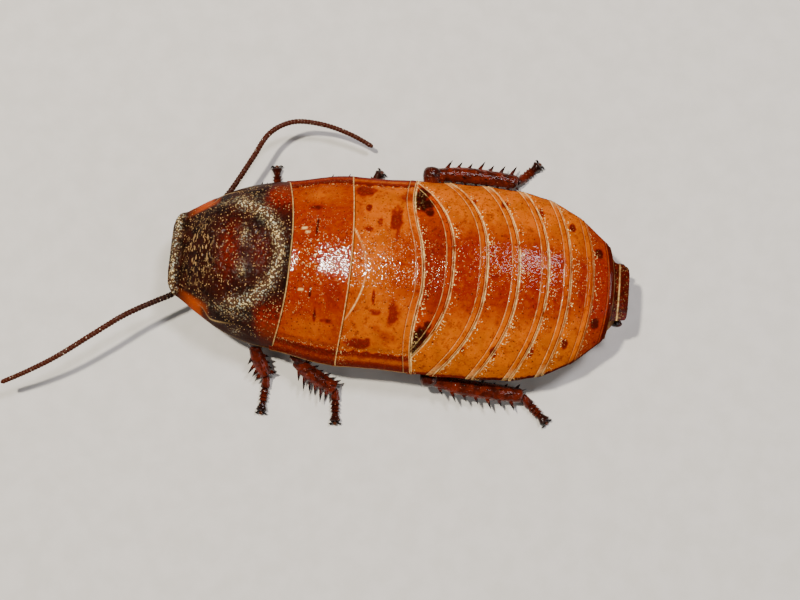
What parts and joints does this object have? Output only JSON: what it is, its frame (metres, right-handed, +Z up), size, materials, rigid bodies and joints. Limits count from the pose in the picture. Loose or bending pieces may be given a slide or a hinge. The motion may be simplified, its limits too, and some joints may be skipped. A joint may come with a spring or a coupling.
{
  "type": "madagascar hissing cockroach",
  "caption": "Life-size still model of a wingless hissing cockroach with a domed shield, ringed amber abdomen, spiny legs and long feelers.",
  "frame": {"origin": "centre of the overall box at floor level, on the body's plane of symmetry", "axes": "+X toward the head, +Y toward the animal's left, +Z up from the floor"},
  "size_m": [0.0836, 0.0427, 0.0142],
  "materials": {
    "shield_chitin": "glossy wrinkled near-black chitin with cream glints",
    "thorax_chitin": "glossy red-brown chitin",
    "amber_chitin": "glossy amber chitin with fine dark pits and pale rims",
    "belly_chitin": "smooth brown belly chitin",
    "leg_chitin": "glossy dark red-brown chitin",
    "feeler_chitin": "ringed reddish-brown feeler",
    "head_chitin": "glossy dark head chitin",
    "eye": "black faceted eye",
    "membrane": "pale soft joint skin"
  },
  "bodies": {
    "root": {"pronotum": "shield_chitin", "mesonotum": "thorax_chitin", "metanotum": "amber_chitin", "tergite_1": "thorax_chitin", "tergite_2": "amber_chitin", "tergite_3": "amber_chitin", "tergite_4": "amber_chitin", "tergite_5": "amber_chitin", "tergite_6": "amber_chitin", "tergite_7": "amber_chitin", "epiproct": "shield_chitin", "prosternum": "belly_chitin", "mesosternum": "belly_chitin", "metasternum": "belly_chitin", "sternite_2": "belly_chitin", "sternite_3": "belly_chitin", "sternite_4": "belly_chitin", "sternite_5": "belly_chitin", "sternite_6": "belly_chitin", "sternite_7": "belly_chitin", "neck": "membrane", "head": "head_chitin", "mouthparts": "head_chitin", "labrum": "head_chitin", "eye_left": "eye", "palp_left": "feeler_chitin", "antenna_left": "feeler_chitin", "cercus_left": "leg_chitin", "eye_right": "eye", "palp_right": "feeler_chitin", "antenna_right": "feeler_chitin", "cercus_right": "leg_chitin", "coxa_front_left": "leg_chitin", "femur_front_left": "leg_chitin", "tibia_front_left": "leg_chitin", "tarsus_front_left": "leg_chitin", "coxa_front_right": "leg_chitin", "femur_front_right": "leg_chitin", "tibia_front_right": "leg_chitin", "tarsus_front_right": "leg_chitin", "coxa_middle_left": "leg_chitin", "femur_middle_left": "leg_chitin", "tibia_middle_left": "leg_chitin", "tarsus_middle_left": "leg_chitin", "coxa_middle_right": "leg_chitin", "femur_middle_right": "leg_chitin", "tibia_middle_right": "leg_chitin", "tarsus_middle_right": "leg_chitin", "coxa_hind_left": "leg_chitin", "femur_hind_left": "leg_chitin", "tibia_hind_left": "leg_chitin", "tarsus_hind_left": "leg_chitin", "coxa_hind_right": "leg_chitin", "femur_hind_right": "leg_chitin", "tibia_hind_right": "leg_chitin", "tarsus_hind_right": "leg_chitin"}
  },
  "joints": []
}
